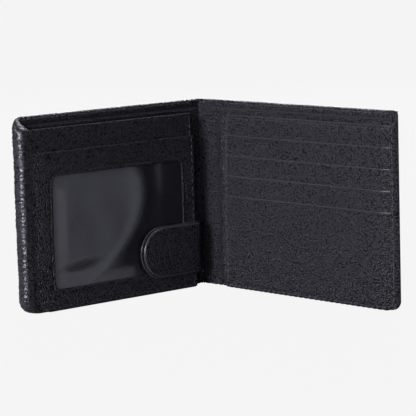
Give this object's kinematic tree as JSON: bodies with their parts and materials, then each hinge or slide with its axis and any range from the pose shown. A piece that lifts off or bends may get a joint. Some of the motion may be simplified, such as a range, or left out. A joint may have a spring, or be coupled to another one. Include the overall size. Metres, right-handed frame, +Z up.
{
  "type": "trifold wallet",
  "caption": "Trifold leather wallet standing open in a V: card slots on one half, a fold-over flap with a clear window held by a rounded tab on the other.",
  "frame": {"origin": "middle of the spine leather's thickness and width, at its foot", "axes": "+Z up along the folds; +X to the right when looking into the open wallet; the wallet opens towards -Y"},
  "size_m": [0.1777, 0.0969, 0.093],
  "materials": {
    "leather": "fine pebble grain, satin",
    "leather_trim": "fine pebble grain, satin",
    "lining": "woven lining, matt",
    "film": "clear flexible film, glossy",
    "board": "matt fibre board",
    "magnet": "plated disc",
    "thread": "waxed thread"
  },
  "bodies": {
    "left_half": {"shell_left": "leather", "lining_left": "lining", "bill_wall_left": "leather_trim", "left_panel": "leather_trim", "left_card_pocket_1": "leather_trim", "left_card_pocket_2": "leather_trim", "left_card_pocket_3": "leather_trim", "thread_hem_left": "thread"},
    "spine": {"shell_spine": "leather", "lining_spine": "lining", "bill_wall_spine": "leather_trim"},
    "right_half": {"shell_right": "leather", "lining_right": "lining", "bill_wall_right": "leather_trim", "right_card_pocket_1": "leather_trim", "right_card_pocket_2": "leather_trim", "right_card_pocket_3": "leather_trim", "right_card_pocket_4": "leather_trim", "right_card_pocket_5": "leather_trim", "thread_hem_right": "thread", "thread_right_rim": "thread"},
    "flap_edge": {"shell_edge": "leather"},
    "flap": {"flap_shell": "leather", "flap_stiffener": "board", "flap_magnet": "magnet", "flap_lining": "lining", "window_film": "film", "window_pocket": "leather_trim", "thread_flap": "thread"},
    "tab": {"tab_outer": "leather", "tab_lining": "leather", "tab_magnet": "magnet", "thread_tab_foot": "thread"}
  },
  "joints": [
    {"name": "left_fold", "type": "hinge", "parent": "left_half", "child": "spine", "pos_m": [-0.00564, 0.00165, 0.0465], "axis": [0, 0, 1], "range_deg": [-6, 84], "deforming": ["shell_spine", "lining_spine", "bill_wall_spine"]},
    {"name": "right_fold", "type": "hinge", "parent": "spine", "child": "right_half", "pos_m": [0.00416, -0.00718, 0.0465], "axis": [0, 0, 1], "range_deg": [-86, 4]},
    {"name": "flap_fold_lower", "type": "hinge", "parent": "left_half", "child": "flap_edge", "pos_m": [-0.08874, -0.07209, 0.0465], "axis": [0, 0, -1], "range_deg": [0, 90], "deforming": ["shell_edge"]},
    {"name": "flap_fold_upper", "type": "hinge", "parent": "flap_edge", "child": "flap", "pos_m": [-0.08673, -0.07432, 0.0465], "axis": [0, 0, -1], "range_deg": [0, 90]},
    {"name": "tab_lift", "type": "hinge", "parent": "left_half", "child": "tab", "pos_m": [-0.00976, -0.00528, 0.0203], "axis": [0, 0, 1], "range_deg": [0, 85], "deforming": ["tab_outer", "tab_lining", "tab_magnet", "thread_tab_foot"]}
  ],
  "couplings": [
    {"joint": "flap_fold_upper", "follows": "flap_fold_lower", "ratio": 1}
  ]
}
